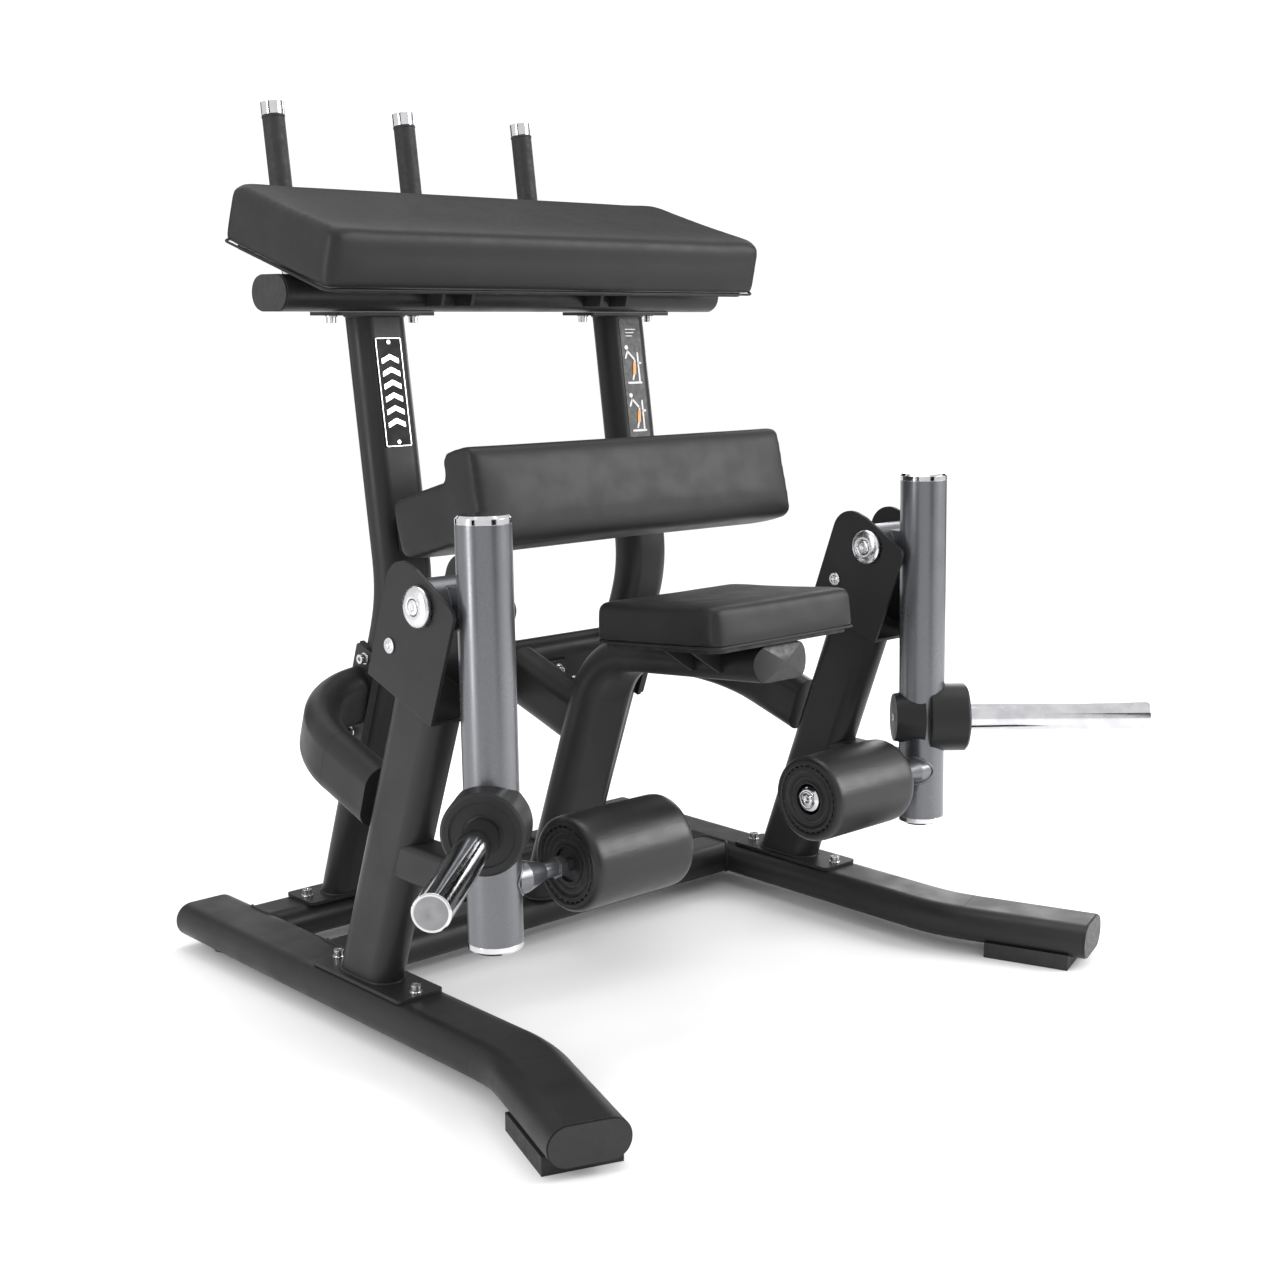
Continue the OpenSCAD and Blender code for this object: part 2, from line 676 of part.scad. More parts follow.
left_rail();
right_rail();
rail_end_caps();
front_feet();
rear_feet();
front_cross_tube();
rear_cross_tube();
left_post();
right_post();
left_clevis();
right_clevis();
color("#3a3a3c") placed() side(true) upright();  // left_upright
color("#3a3a3c") placed() upright();  // right_upright
color("#3a3a3c") placed() crossbar();
color("#3a3a3c") placed() side(true) side_brace();  // left_side_brace
color("#3a3a3c") placed() side_brace();  // right_side_brace
color("#3a3a3c") placed() centre_brace();
color("#3a3a3c") placed() seat_leg();
color("#4a4a4c") placed() seat_leg_cap();
color("#3a3a3c") placed() for (s = [-1, 1], y = [-40, 20]) knee_gusset(s, y);  // seat_gussets
color("#c8c8cc") placed() frame_bolts();
color("#c8c8cc") placed() flange_bolts();
color("#3a3a3c") placed() both() stop_stub();  // stop_stubs
color("#1c1c1e") placed() both() stop_bumper();  // stop_bumpers
color("#1c1c1e") placed() knee_board();
color("#2b2b2d") placed() knee_pad();
color("#3a3a3c") placed() both() thigh_bracket();  // thigh_brackets
color("#1c1c1e") placed() thigh_board();
color("#2b2b2d") placed() thigh_pad();
color("#3a3a3c") placed() chest_beam();
color("#4a4a4c") placed() both() chest_beam_cap();  // chest_beam_caps
color("#3a3a3c") placed() both() for (x = chest_gusset_x) chest_gusset(x);  // chest_gussets
color("#1c1c1e") placed() chest_board();
color("#2b2b2d") placed() chest_pad();
color("#c8c8cc") placed() for (i = [-1 : 1]) handle_tube(i * handle_x);  // handle_tubes
color("#222224") placed() for (i = [-1 : 1]) handle_grip(i * handle_x);  // handle_grips
color("#c8c8cc") placed() for (i = [-1 : 1]) handle_cap(i * handle_x);  // handle_caps
color("#111113") placed() name_plate();
color("#c8c8cc") placed() name_plate_screws();
color("#555558") placed() guide_plate();
color("#c8c8cc") placed() both() pivot_bolt();  // pivot_bolts
color("#c8c8cc") placed() both() clevis_screw();  // clevis_screws
color("#8f9094") placed() side(true) arm();  // left_arm
color("#8f9094") placed() arm();  // right_arm
color("#c8c8cc") placed() side(true) arm_caps();  // left_arm_caps
color("#c8c8cc") placed() arm_caps();  // right_arm_caps
color("#2b2b2d") placed() side(true) horn_hub();  // left_horn_hub
color("#2b2b2d") placed() horn_hub();  // right_horn_hub
color("#d8d8dc") placed() side(true) horn();  // left_horn
color("#d8d8dc") placed() horn();  // right_horn
color("#8f9094") placed() side(true) roller_shaft();  // left_roller_shaft
color("#8f9094") placed() roller_shaft();  // right_roller_shaft
color("#1c1c1e") placed() side(true) roller_core();  // left_roller_core
color("#1c1c1e") placed() roller_core();  // right_roller_core
color("#2b2b2d") placed() side(true) roller_pad();  // left_roller_pad
color("#2b2b2d") placed() roller_pad();  // right_roller_pad
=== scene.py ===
"""Looks of the plate-loaded leg curl machine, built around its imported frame."""
import json
import math

import bmesh
import bpy
import numpy as np
from mathutils import Euler, Matrix, Vector


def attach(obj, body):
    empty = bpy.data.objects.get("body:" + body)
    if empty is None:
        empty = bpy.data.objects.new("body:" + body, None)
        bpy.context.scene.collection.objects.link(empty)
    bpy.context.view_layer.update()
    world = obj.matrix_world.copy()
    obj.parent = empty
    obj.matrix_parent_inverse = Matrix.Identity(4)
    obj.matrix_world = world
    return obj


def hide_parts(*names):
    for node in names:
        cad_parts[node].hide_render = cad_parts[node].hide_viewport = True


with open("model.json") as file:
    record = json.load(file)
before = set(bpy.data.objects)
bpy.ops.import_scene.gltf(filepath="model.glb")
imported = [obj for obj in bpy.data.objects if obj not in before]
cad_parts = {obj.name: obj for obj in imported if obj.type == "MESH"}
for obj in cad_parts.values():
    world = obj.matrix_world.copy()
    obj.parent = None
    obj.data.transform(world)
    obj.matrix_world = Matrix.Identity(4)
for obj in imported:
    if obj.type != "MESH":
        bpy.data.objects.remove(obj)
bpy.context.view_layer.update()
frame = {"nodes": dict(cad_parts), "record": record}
scene = bpy.context.scene
nodes = frame["nodes"]

# Sizes repeated from the CAD source, in metres
FRAME_Y = 0.02915
RAIL_X = 0.484
POST_Y, POST_LEAN = 0.011 + FRAME_Y, math.radians(19.8)
POST_FOOT_Z, POST_LEN = 0.084, 0.502
HEAVY, LIGHT = (0.060, 0.120), (0.104, 0.058)
UPRIGHT_X = 0.271
UPRIGHT_FOOT = (0.395 + FRAME_Y, 0.083)
UPRIGHT_KNEE = (0.199 + FRAME_Y, 0.640)
UPRIGHT_TOP = (0.268 + FRAME_Y, 1.099)
ARM_Y, ARM_LEAN = -0.297 + FRAME_Y, math.radians(1.4)
HUB_Z, HUB_OUT, HUB_IN, HORN_END = 0.397, 0.078, 0.050, 0.405
HORN_TURN = math.radians(41.4)
ROLLER_Y, ROLLER_Z, ROLLER_OUT, ROLLER_LEN = -0.316 + FRAME_Y, 0.308, 0.365, 0.203
ARM_R, BOSS_R, BOSS_AHEAD = 0.040, 0.024, 0.0135
CROSS_TUBE_Y, CROSS_TUBE_Z = (0.172, 0.410), 0.048
SEAT_LEG_FOOT = (0.147 + FRAME_Y, 0.077)
PIVOT_BACK, PIVOT_UP, CLEVIS_HALF = -0.0047, 0.655, 0.056
SCREW_BACK, SCREW_UP = 0.044, 0.066
PLATE_DROP = 0.130
GRIP_LEAN, GRIP_X = math.radians(8.4), 0.276
GRIP_TOP = Vector((0, 0.552 + FRAME_Y, 1.450))
CHEST_SLOPE, KNEE_TILT, THIGH_LEAN = math.radians(15.8), math.radians(4.9), math.radians(15.3)
SIDES = ((-1, "left"), (1, "right"))


# ---------- camera, light and floor ----------

def make_camera():
    data = bpy.data.cameras.new("camera")
    data.lens, data.sensor_width = 50.3, 36
    camera = bpy.data.objects.new("camera", data)
    camera.location = (-1.994, -2.234 + FRAME_Y, 1.100)
    camera.rotation_euler = Euler((math.radians(79.70), 0, math.radians(-42.87)))
    scene.collection.objects.link(camera)
    scene.camera = camera


def area_light(name, place, target, size, power):
    data = bpy.data.lights.new(name, "AREA")
    data.shape, data.size, data.size_y = "RECTANGLE", size[0], size[1]
    data.energy = power
    light = bpy.data.objects.new(name, data)
    light.location = place
    light.rotation_euler = (Vector(target) - Vector(place)).to_track_quat("-Z", "Y").to_euler()
    scene.collection.objects.link(light)


def make_studio():
    world = bpy.data.worlds.new("studio")
    world.use_nodes = True
    sky = world.node_tree.nodes["Background"]
    sky.inputs["Color"].default_value = (1, 1, 1, 1)
    sky.inputs["Strength"].default_value = 1.07
    scene.world = world
    area_light("key", (2.9, -3.1, 2.3), (0, 0, 0.6), (1.8, 2.4), 160)
    area_light("strip", (-3.4, 0.3, 1.3), (-0.4, -0.2, 0.7), (0.28, 2.6), 46)
    area_light("top", (0.3, 0.5, 3.7), (0, 0, 0.6), (2.6, 1.8), 40)
    area_light("rim", (3.2, 1.5, 1.5), (0.3, 0, 0.4), (0.9, 1.6), 15)
    dark_card("card_front", (-0.1, -4.2, 1.2), (0, 0, 0.9), (1.5, 3.6))
    dark_card("card_left", (-4.3, -1.1, 1.2), (0, 0, 0.9), (0.9, 3.6))
    dark_card("card_right", (4.2, 0.4, 1.2), (0, 0, 0.9), (1.6, 3.6))
    dark_card("card_back", (-0.6, 4.4, 1.2), (0, 0, 0.9), (1.6, 3.6))
    dark_card("card_high", (2.5, 3.1, 2.45), (0, 0, 0.8), (2.6, 2.4))


def dark_card(name, place, target, size):
    """A black card that only reflections see, as a photographer uses to draw dark lines on chrome."""
    w, h = size[0] / 2, size[1] / 2
    mesh = bpy.data.meshes.new(name)
    mesh.from_pydata([(-w, -h, 0), (w, -h, 0), (w, h, 0), (-w, h, 0)], [], [(0, 1, 2, 3)])
    card = bpy.data.objects.new(name, mesh)
    card.location = place
    card.rotation_euler = (Vector(target) - Vector(place)).to_track_quat("-Z", "Y").to_euler()
    scene.collection.objects.link(card)
    card.visible_camera = card.visible_diffuse = card.visible_shadow = card.visible_transmission = False
    f = Finish(name, Specular_IOR_Level=0.0)
    cloth = f.mixed(f.spread(f.noise(1, 1), 0, 1), (0.004, 0.004, 0.004), (0.006, 0.006, 0.006))
    paint(card, f.done(cloth, f.spread(f.noise(1, 1), 0.9, 1.0)))


# ---------- materials ----------

class Finish:
    """A node material whose textures follow the piece's own coordinates, in metres."""

    def __init__(self, name, **shader):
        self.material = bpy.data.materials.new(name)
        self.material.use_nodes = True
        self.tree = self.material.node_tree
        self.shader = self.tree.nodes["Principled BSDF"]
        for key, value in shader.items():
            self.shader.inputs[key.replace("_", " ")].default_value = value
        self.place = self.node("ShaderNodeTexCoord").outputs["Object"]
        self.normal = None

    def node(self, kind, links=(), **values):
        made = self.tree.nodes.new(kind)
        for key, value in values.items():
            made.inputs[key.replace("_", " ")].default_value = value
        for key, source in dict(links).items():
            self.tree.links.new(source, made.inputs[key])
        return made

    def stretched(self, stretch):
        made = self.node("ShaderNodeMapping", {"Vector": self.place})
        made.inputs["Scale"].default_value = stretch
        return made.outputs["Vector"]

    def noise(self, scale, detail=2.0, rough=0.5, stretch=None):
        place = self.stretched(stretch) if stretch else self.place
        made = self.node("ShaderNodeTexNoise", {"Vector": place}, Scale=scale, Detail=detail, Roughness=rough)
        return made.outputs["Fac"]

    def cells(self, scale):
        return self.node("ShaderNodeTexVoronoi", {"Vector": self.place}, Scale=scale).outputs["Distance"]

    def spread(self, source, low, high, start=0.35, stop=0.65):
        made = self.node("ShaderNodeMapRange", {"Value": source})
        for key, value in zip(("From Min", "From Max", "To Min", "To Max"), (start, stop, low, high)):
            made.inputs[key].default_value = value
        return made.outputs["Result"]

    def mixed(self, share, a, b):
        made = self.tree.nodes.new("ShaderNodeMix")
        made.data_type = "RGBA"
        for slot, value in ((6, a), (7, b)):
            if isinstance(value, (tuple, list)):
                made.inputs[slot].default_value = (*value, 1)
            else:
                self.tree.links.new(value, made.inputs[slot])
        self.tree.links.new(share, made.inputs[0])
        return made.outputs[2]

    def bump(self, height, distance, strength=1.0):
        made = self.node("ShaderNodeBump", {"Height": height}, Strength=strength, Distance=distance)
        if self.normal is not None:
            self.tree.links.new(self.normal, made.inputs["Normal"])
        self.normal = made.outputs["Normal"]

    def rounded_edges(self, radius):
        """Softens hard edges in the shading, and returns how near an edge a point is, from 0 to 1."""
        soft = self.node("ShaderNodeBevel", Radius=radius)
        soft.samples = 4
        flat = self.node("ShaderNodeNewGeometry").outputs["Normal"]
        dot = self.node("ShaderNodeVectorMath", {0: soft.outputs["Normal"], 1: flat})
        dot.operation = "DOT_PRODUCT"
        self.normal = soft.outputs["Normal"]
        return self.spread(dot.outputs["Value"], 1.0, 0.0, 0.80, 0.985)

    def done(self, colour, roughness):
        self.tree.links.new(colour, self.shader.inputs["Base Color"])
        self.tree.links.new(roughness, self.shader.inputs["Roughness"])
        if self.normal is not None:
            self.tree.links.new(self.normal, self.shader.inputs["Normal"])
        return self.material


def powder_coat(name, dark, light, rough):
    f = Finish(name, Specular_IOR_Level=0.24)
    edge = f.rounded_edges(0.0016)
    f.bump(f.noise(1100, 2), 0.00005, 0.5)
    f.bump(f.noise(160, 2), 0.00006, 0.3)
    base = f.mixed(f.spread(f.noise(5, 3), 0, 1), dark, light)
    worn = f.mixed(edge, base, tuple(min(1, c * 1.5) for c in light))
    return f.done(worn, f.spread(f.noise(14, 4), rough - 0.05, rough + 0.07))


def silver_coat():
    f = Finish("silver_coat", Metallic=0.8, Coat_Weight=0.12, Coat_Roughness=0.2)
    edge = f.rounded_edges(0.0012)
    f.bump(f.noise(900, 2), 0.00002, 0.3)
    base = f.mixed(f.spread(f.noise(420, 2), 0, 1), (0.140, 0.144, 0.154), (0.156, 0.160, 0.171))
    return f.done(f.mixed(edge, base, (0.36, 0.36, 0.38)), f.spread(f.noise(16, 3), 0.27, 0.33))


def polished(name, dark, light, low, high):
    f = Finish(name, Metallic=1.0)
    edge = f.rounded_edges(0.0008)
    f.bump(f.noise(600, 3, 0.6), 0.00002, 0.5)
    base = f.mixed(f.spread(f.noise(30, 3), 0, 1), dark, light)
    return f.done(f.mixed(edge, base, (0.95, 0.95, 0.96)), f.spread(f.noise(90, 4, 0.6), low, high))


def vinyl(name, dark, light, rough, grain, crease, shine):
    """Upholstery skin: a fine pebble grain with painted shade in its pits, and creases that run along the
    piece.
    """
    f = Finish(name, Specular_IOR_Level=shine)
    f.bump(f.noise(120, 5, 0.6, (0.25, 1, 1)), 0.0008 * crease, 0.6)
    f.bump(f.cells(grain), 0.00010, 0.4)
    base = f.mixed(f.spread(f.noise(9, 2), 0, 1), dark, light)
    # The pits of the grain are painted 10% darker: painted shade in the grain's recesses.
    pit_shade_mask = f.spread(f.cells(grain), 0, 1, 0.1, 0.75)
    pit_shaded = f.mixed(pit_shade_mask, tuple(c * 0.9 for c in dark), base)
    return f.done(pit_shaded, f.spread(f.noise(24, 2), rough - 0.03, rough + 0.03))


def rubbery(name, dark, light, rough, grain):
    f = Finish(name, Specular_IOR_Level=0.4)
    edge = f.rounded_edges(0.0012)
    f.bump(f.noise(grain, 3), 0.00012, 0.6)
    base = f.mixed(f.spread(f.noise(40, 4), 0, 1), dark, light)
    worn = f.mixed(edge, base, tuple(c * 1.3 for c in light))
    return f.done(worn, f.spread(f.noise(120, 3), rough - 0.07, rough + 0.07))


def grained_board():
    f = Finish("painted_board", Specular_IOR_Level=0.35)
    f.bump(f.noise(260, 4, 0.6, (0.08, 1, 1)), 0.0002, 0.6)
    grain = f.spread(f.noise(120, 4, 0.6, (0.08, 1, 1)), 0, 1)
    base = f.mixed(grain, (0.008, 0.008, 0.009), (0.015, 0.015, 0.016))
    return f.done(base, f.spread(f.noise(50, 3), 0.5, 0.7))


def glossy(name, dark, light, rough, shine=0.5):
    f = Finish(name, Specular_IOR_Level=shine)
    f.bump(f.noise(300, 2), 0.00004, 0.4)
    base = f.mixed(f.spread(f.noise(70, 3), 0, 1), dark, light)
    return f.done(base, f.spread(f.noise(50, 3), rough - 0.05, rough + 0.08))


frame_paint = powder_coat("frame_powder_coat", (0.0135, 0.0135, 0.014), (0.0165, 0.0165, 0.017), 0.40)
finishes = {
    "frame_paint": frame_paint,
    "arm_paint": silver_coat(),
    "bright": polished("polished_chrome", (0.54, 0.54, 0.56), (0.64, 0.64, 0.66), 0.07, 0.15),
    "bolt": polished("zinc_plate", (0.58, 0.58, 0.60), (0.72, 0.72, 0.74), 0.18, 0.32),
    "cushion": vinyl("pad_vinyl", (0.0140, 0.0140, 0.0143), (0.0165, 0.0165, 0.017),
                     0.46, 900, 0.10, 0.22),
    "roller_skin": vinyl("roller_vinyl", (0.0105, 0.0105, 0.011), (0.0135, 0.0135, 0.014),
                         0.38, 620, 0.8, 0.38),
    "board": grained_board(),
    "rubber": rubbery("black_rubber", (0.012, 0.012, 0.0125), (0.017, 0.017, 0.0175), 0.60, 900),
    "plastic": rubbery("moulded_plastic", (0.012, 0.012, 0.0125), (0.016, 0.016, 0.0165), 0.45, 1500),
    "plate": glossy("plate_gloss", (0.010, 0.010, 0.011), (0.016, 0.016, 0.017), 0.50, 0.15),
}
silver_trim = polished("badge_silver", (0.60, 0.60, 0.62), (0.72, 0.72, 0.74), 0.22, 0.34)
plate_grey = rubbery("placard_grey", (0.050, 0.050, 0.052), (0.060, 0.060, 0.062), 0.5, 900)
print_white = glossy("print_white", (0.62, 0.62, 0.62), (0.72, 0.72, 0.72), 0.45)
print_orange = glossy("print_orange", (0.78, 0.30, 0.04), (0.86, 0.38, 0.07), 0.45)
horn_face = rubbery("horn_face_grey", (0.20, 0.20, 0.205), (0.24, 0.24, 0.245), 0.5, 700)


def paint(obj, finish):
    obj.data.materials.clear()
    obj.data.materials.append(finish)


def paint_frame():
    for row in frame["record"]["subparts"]:
        node = nodes[row["node"]]
        if not node.data.materials:
            node.data.materials.append(None)
        for place in node.material_slots:
            place.material = finishes[row["material_slot"]]
    for side in ("left", "right"):
        for place in nodes[side + "_roller_shaft"].material_slots:
            place.material = finishes["arm_paint"]
    for place in nodes["guide_plate"].material_slots:
        place.material = plate_grey


# ---------- mesh helpers ----------

def add_piece(name, mesh, body, finish, smooth=True):
    obj = bpy.data.objects.new(name, mesh)
    scene.collection.objects.link(obj)
    paint(obj, finish)
    if smooth:
        for face in mesh.polygons:
            face.use_smooth = True
    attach(obj, body)
    return obj


def mesh_from(name, verts, faces):
    mesh = bpy.data.meshes.new(name)
    mesh.from_pydata([tuple(v) for v in verts], [], faces)
    mesh.update()
    return mesh


def sweep(name, path, radius, closed=True, sides=10, ripple=0.0, pitch=0.004):
    """A round bead along a path. Ripple swells and pinches it once every pitch, as welds do."""
    count = len(path)
    verts, faces, run = [], [], 0.0
    normal = None
    for i, p in enumerate(path):
        ahead = path[(i + 1) % count] if closed or i + 1 < count else p
        behind = path[i - 1] if closed or i > 0 else p
        tangent = (ahead - behind).normalized()
        if normal is None:
            normal = tangent.orthogonal().normalized()
        normal = (normal - tangent * normal.dot(tangent)).normalized()
        cross = tangent.cross(normal)
        run += (p - path[i - 1]).length if i else 0.0
        r = radius * (1 + ripple * math.sin(2 * math.pi * run / pitch))
        for k in range(sides):
            a = 2 * math.pi * k / sides
            verts.append(p + (normal * math.cos(a) + cross * math.sin(a)) * r)
    for i in range(count if closed else count - 1):
        j = (i + 1) % count
        for k in range(sides):
            m = (k + 1) % sides
            faces.append((i * sides + k, i * sides + m, j * sides + m, j * sides + k))
    if not closed:
        faces.append(tuple(reversed(range(sides))))
        faces.append(tuple(range((count - 1) * sides, count * sides)))
    return mesh_from(name, verts, faces)


def lathe(name, profile, matrix, steps=72):
    """A turned shape: profile holds (radius, height) pairs, turned about the matrix's Z."""
    verts, faces = [], []
    for r, h in profile:
        for k in range(steps):
            a = 2 * math.pi * k / steps
            verts.append(matrix @ Vector((r * math.cos(a), r * math.sin(a), h)))
    for i in range(len(profile) - 1):
        for k in range(steps):
            m = (k + 1) % steps
            faces.append((i * steps + k, i * steps + m, (i + 1) * steps + m, (i + 1) * steps + k))
    faces.append(tuple(reversed(range(steps))))
    faces.append(tuple(range((len(profile) - 1) * steps, len(profile) * steps)))
    return mesh_from(name, verts, faces)


def slab(outline, depth, matrix, edge=0.0):
    """A closed outline made depth thick along the matrix's Z, with its upper rim eased by edge."""
    middle = sum((Vector((x, y)) for x, y in outline), Vector((0, 0))) / len(outline)
    rings = [(0.0, 0.0), (depth - edge, 0.0)] + ([(depth, edge)] if edge else [])
    verts, faces, n = [], [], len(outline)
    for h, eased in rings:
        for x, y in outline:
            p = Vector((x, y)) - middle
            p = middle + p * (1 - eased / max(p.length, 1e-6))
            verts.append(matrix @ Vector((p.x, p.y, h)))
    for i in range(len(rings) - 1):
        for k in range(n):
            m = (k + 1) % n
            faces.append((i * n + k, i * n + m, (i + 1) * n + m, (i + 1) * n + k))
    faces.append(tuple(reversed(range(n))))
    faces.append(tuple(range((len(rings) - 1) * n, len(rings) * n)))
    return verts, faces


def slabs(name, shapes):
    """One mesh from several slabs."""
    verts, faces = [], []
    for shape in shapes:
        v, f = slab(*shape)
        faces += [tuple(i + len(verts) for i in face) for face in f]
        verts += v
    return mesh_from(name, verts, faces)


def rounded_box(x, y, r, per_corner=6):
    """Outline of a rectangle with round corners, anticlockwise."""
    points = []
    for k, (sx, sy) in enumerate(((1, 1), (-1, 1), (-1, -1), (1, -1))):
        for i in range(per_corner + 1):
            a = math.pi / 2 * (k + i / per_corner)
            points.append((sx * (x / 2 - r) + r * math.cos(a), sy * (y / 2 - r) + r * math.sin(a)))
    return points


def flat_oval(x, y, step=0.0015):
    """Perimeter of a flat oval as evenly spaced points."""
    r = min(x, y) / 2
    corners = rounded_box(x, y, r - 1e-6, 40)
    path = [Vector((a, b)) for a, b in corners]
    total = sum((path[i] - path[i - 1]).length for i in range(len(path)))
    count = int(total / step)
    out, i, left = [], 0, 0.0
    for k in range(count):
        want = total * k / count
        while left + (path[(i + 1) % len(path)] - path[i % len(path)]).length < want:
            left += (path[(i + 1) % len(path)] - path[i % len(path)]).length
            i += 1
        a, b = path[i % len(path)], path[(i + 1) % len(path)]
        out.append(a + (b - a) * ((want - left) / max((b - a).length, 1e-9)))
    return out


# ---------- weld beads ----------

def post_matrix(side):
    return Matrix.Translation((side * RAIL_X, POST_Y, POST_FOOT_Z)) @ Matrix.Rotation(POST_LEAN, 4, "X")


def bead(name, path, body="frame", finish=None, radius=0.0028):
    mesh = sweep(name, path, radius, ripple=0.10, pitch=0.0042)
    return add_piece(name, mesh, body, finish or frame_paint)


def tube_ring(x, y, z, stretch):
    """Flat-oval seam of a light tube, level, with its Y stretched by the tube's lean."""
    return [Vector((x + p.x, y + p.y * stretch, z)) for p in flat_oval(*LIGHT)]


def shaft_ring(side):
    """Where the roller's round boss meets the round arm tube."""
    ring = []
    for k in range(90):
        a = 2 * math.pi * k / 90
        dy, dz = BOSS_R * math.cos(a), BOSS_R * math.sin(a)
        reach = math.sqrt(ARM_R ** 2 - (dy - BOSS_AHEAD) ** 2)
        ring.append(Vector((side * (RAIL_X - reach), ROLLER_Y + dy, ROLLER_Z + dz)))
    return ring


def make_beads():
    for side, tag in SIDES:
        post = post_matrix(side)
        tilt = 1 / math.cos(POST_LEAN)
        foot = [Vector((side * RAIL_X + p.x, POST_Y + p.y * tilt, POST_FOOT_Z)) for p in flat_oval(*HEAVY)]
        bead(tag + "_post_foot_weld", foot)
        bead(tag + "_post_top_weld", [post @ Vector((p.x, p.y, POST_LEN)) for p in flat_oval(*HEAVY)])
        lean = math.hypot(UPRIGHT_KNEE[0] - UPRIGHT_FOOT[0], UPRIGHT_KNEE[1] - UPRIGHT_FOOT[1])
        tilt = lean / (UPRIGHT_KNEE[1] - UPRIGHT_FOOT[1])
        bead(tag + "_upright_foot_weld", tube_ring(side * UPRIGHT_X, *UPRIGHT_FOOT, tilt))
        bead(tag + "_upright_top_weld", tube_ring(side * UPRIGHT_X, *UPRIGHT_TOP, 1.011))
        for k, y in enumerate(CROSS_TUBE_Y):
            ring = []
            for p in flat_oval(LIGHT[0], LIGHT[1]):
                depth = HEAVY[0] / 2 + math.sqrt(max(0, (HEAVY[0] / 2) ** 2 - p.y ** 2))
                ring.append(Vector((side * (RAIL_X - depth), y + FRAME_Y + p.x, CROSS_TUBE_Z + p.y)))
            bead(f"{tag}_cross_weld_{k}", ring)
        bead(tag + "_roller_arm_weld", shaft_ring(side), tag + "_arm",
             finishes["arm_paint"], 0.0024)
    back, low = SEAT_LEG_FOOT
    leg = [Vector((p.x, back + p.y * 1.06, low)) for p in flat_oval(HEAVY[1], HEAVY[0])]
    bead("seat_leg_foot_weld", leg)


# ---------- pads ----------

def remeshed(obj, voxel):
    """The object's shape as an even skin of quads."""
    maker = obj.modifiers.new("skin", "REMESH")
    maker.mode, maker.voxel_size, maker.adaptivity = "VOXEL", voxel, 0.0
    graph = bpy.context.evaluated_depsgraph_get()
    mesh = bpy.data.meshes.new_from_object(obj.evaluated_get(graph))
    obj.modifiers.clear()
    obj.data = mesh


def relaxed(mesh, rounds):
    """Smooths a mesh, which rounds its edges."""
    form = bmesh.new()
    form.from_mesh(mesh)
    for _ in range(rounds):
        bmesh.ops.smooth_vert(form, verts=form.verts, factor=0.5,
                              use_axis_x=True, use_axis_y=True, use_axis_z=True)
    form.to_mesh(mesh)
    form.free()


def inset(mesh, depth):
    """Draws every vertex in along its normal."""
    mesh.update()
    normals = [v.normal.copy() for v in mesh.vertices]
    for v, n in zip(mesh.vertices, normals):
        v.co -= n * depth


def evened(moves, mesh, rounds):
    """Spreads each vertex's travel over its neighbours, so that the skin stays free of buckles."""
    edges = np.empty(2 * len(mesh.edges), dtype=np.int32)
    mesh.edges.foreach_get("vertices", edges)
    one, other = edges[0::2], edges[1::2]
    count = np.bincount(edges, minlength=len(moves))[:, None]
    for _ in range(rounds):
        total = np.zeros_like(moves)
        np.add.at(total, one, moves[other])
        np.add.at(total, other, moves[one])
        moves = (moves + total / count) / 2
    return moves


def inflate(obj, pinned, pressure, cap, frames=20):
    """Blows the skin up like foam under upholstery, holds what is pinned, and limits and evens the travel."""
    start = [v.co.copy() for v in obj.data.vertices]
    group = obj.vertex_groups.new(name="held")
    for v in obj.data.vertices:
        if pinned(v):
            group.add([v.index], 1.0, "REPLACE")
    cloth = obj.modifiers.new("cloth", "CLOTH")
    cloth.settings.quality = 4
    cloth.settings.mass = 0.3
    cloth.settings.tension_stiffness = 18
    cloth.settings.compression_stiffness = 18
    cloth.settings.bending_stiffness = 1.2
    cloth.settings.use_pressure = True
    cloth.settings.uniform_pressure_force = pressure
    cloth.settings.vertex_group_mass = "held"
    cloth.settings.effector_weights.gravity = 0.0
    cloth.collision_settings.use_collision = False
    cloth.point_cache.frame_start, cloth.point_cache.frame_end = 1, frames
    scene.frame_start, scene.frame_end = 1, frames
    for f in range(1, frames + 1):
        scene.frame_set(f)
    graph = bpy.context.evaluated_depsgraph_get()
    mesh = bpy.data.meshes.new_from_object(obj.evaluated_get(graph))
    obj.modifiers.clear()
    obj.vertex_groups.clear()
    moves = np.array([v.co - before for v, before in zip(mesh.vertices, start)])
    length = np.linalg.norm(moves, axis=1, keepdims=True)
    moves *= np.minimum(1.0, cap / np.maximum(length, 1e-9))
    for v, before, move in zip(mesh.vertices, start, evened(moves, mesh, 40)):
        v.co = before + Vector(move)
    obj.data = mesh
    scene.frame_set(1)


def soft_piece(name, node, body, slot, voxel, draw_in, rounds, pinned, pressure, cap):
    """An upholstered pad in the place of its CAD solid: skinned, eased, drawn in, then inflated."""
    obj = bpy.data.objects.new(name, nodes[node].data.copy())
    scene.collection.objects.link(obj)
    remeshed(obj, voxel)
    relaxed(obj.data, rounds)
    inset(obj.data, draw_in)
    inflate(obj, pinned, pressure, cap)
    relaxed(obj.data, 2)
    obj.data.name = name
    paint(obj, finishes[slot])
    for face in obj.data.polygons:
        face.use_smooth = True
    finer = obj.modifiers.new("finer", "SUBSURF")
    finer.levels = finer.render_levels = 1
    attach(obj, body)
    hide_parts(node)
    return obj


def facing(direction, share=0.75):
    d = Vector(direction).normalized()
    return lambda v: v.normal.dot(d) > share


def sloped(angle, vector):
    return Matrix.Rotation(angle, 3, "X") @ Vector(vector)


def by_roller_core(v):
    return math.hypot(v.co.y - ROLLER_Y, v.co.z - ROLLER_Z) < 0.058


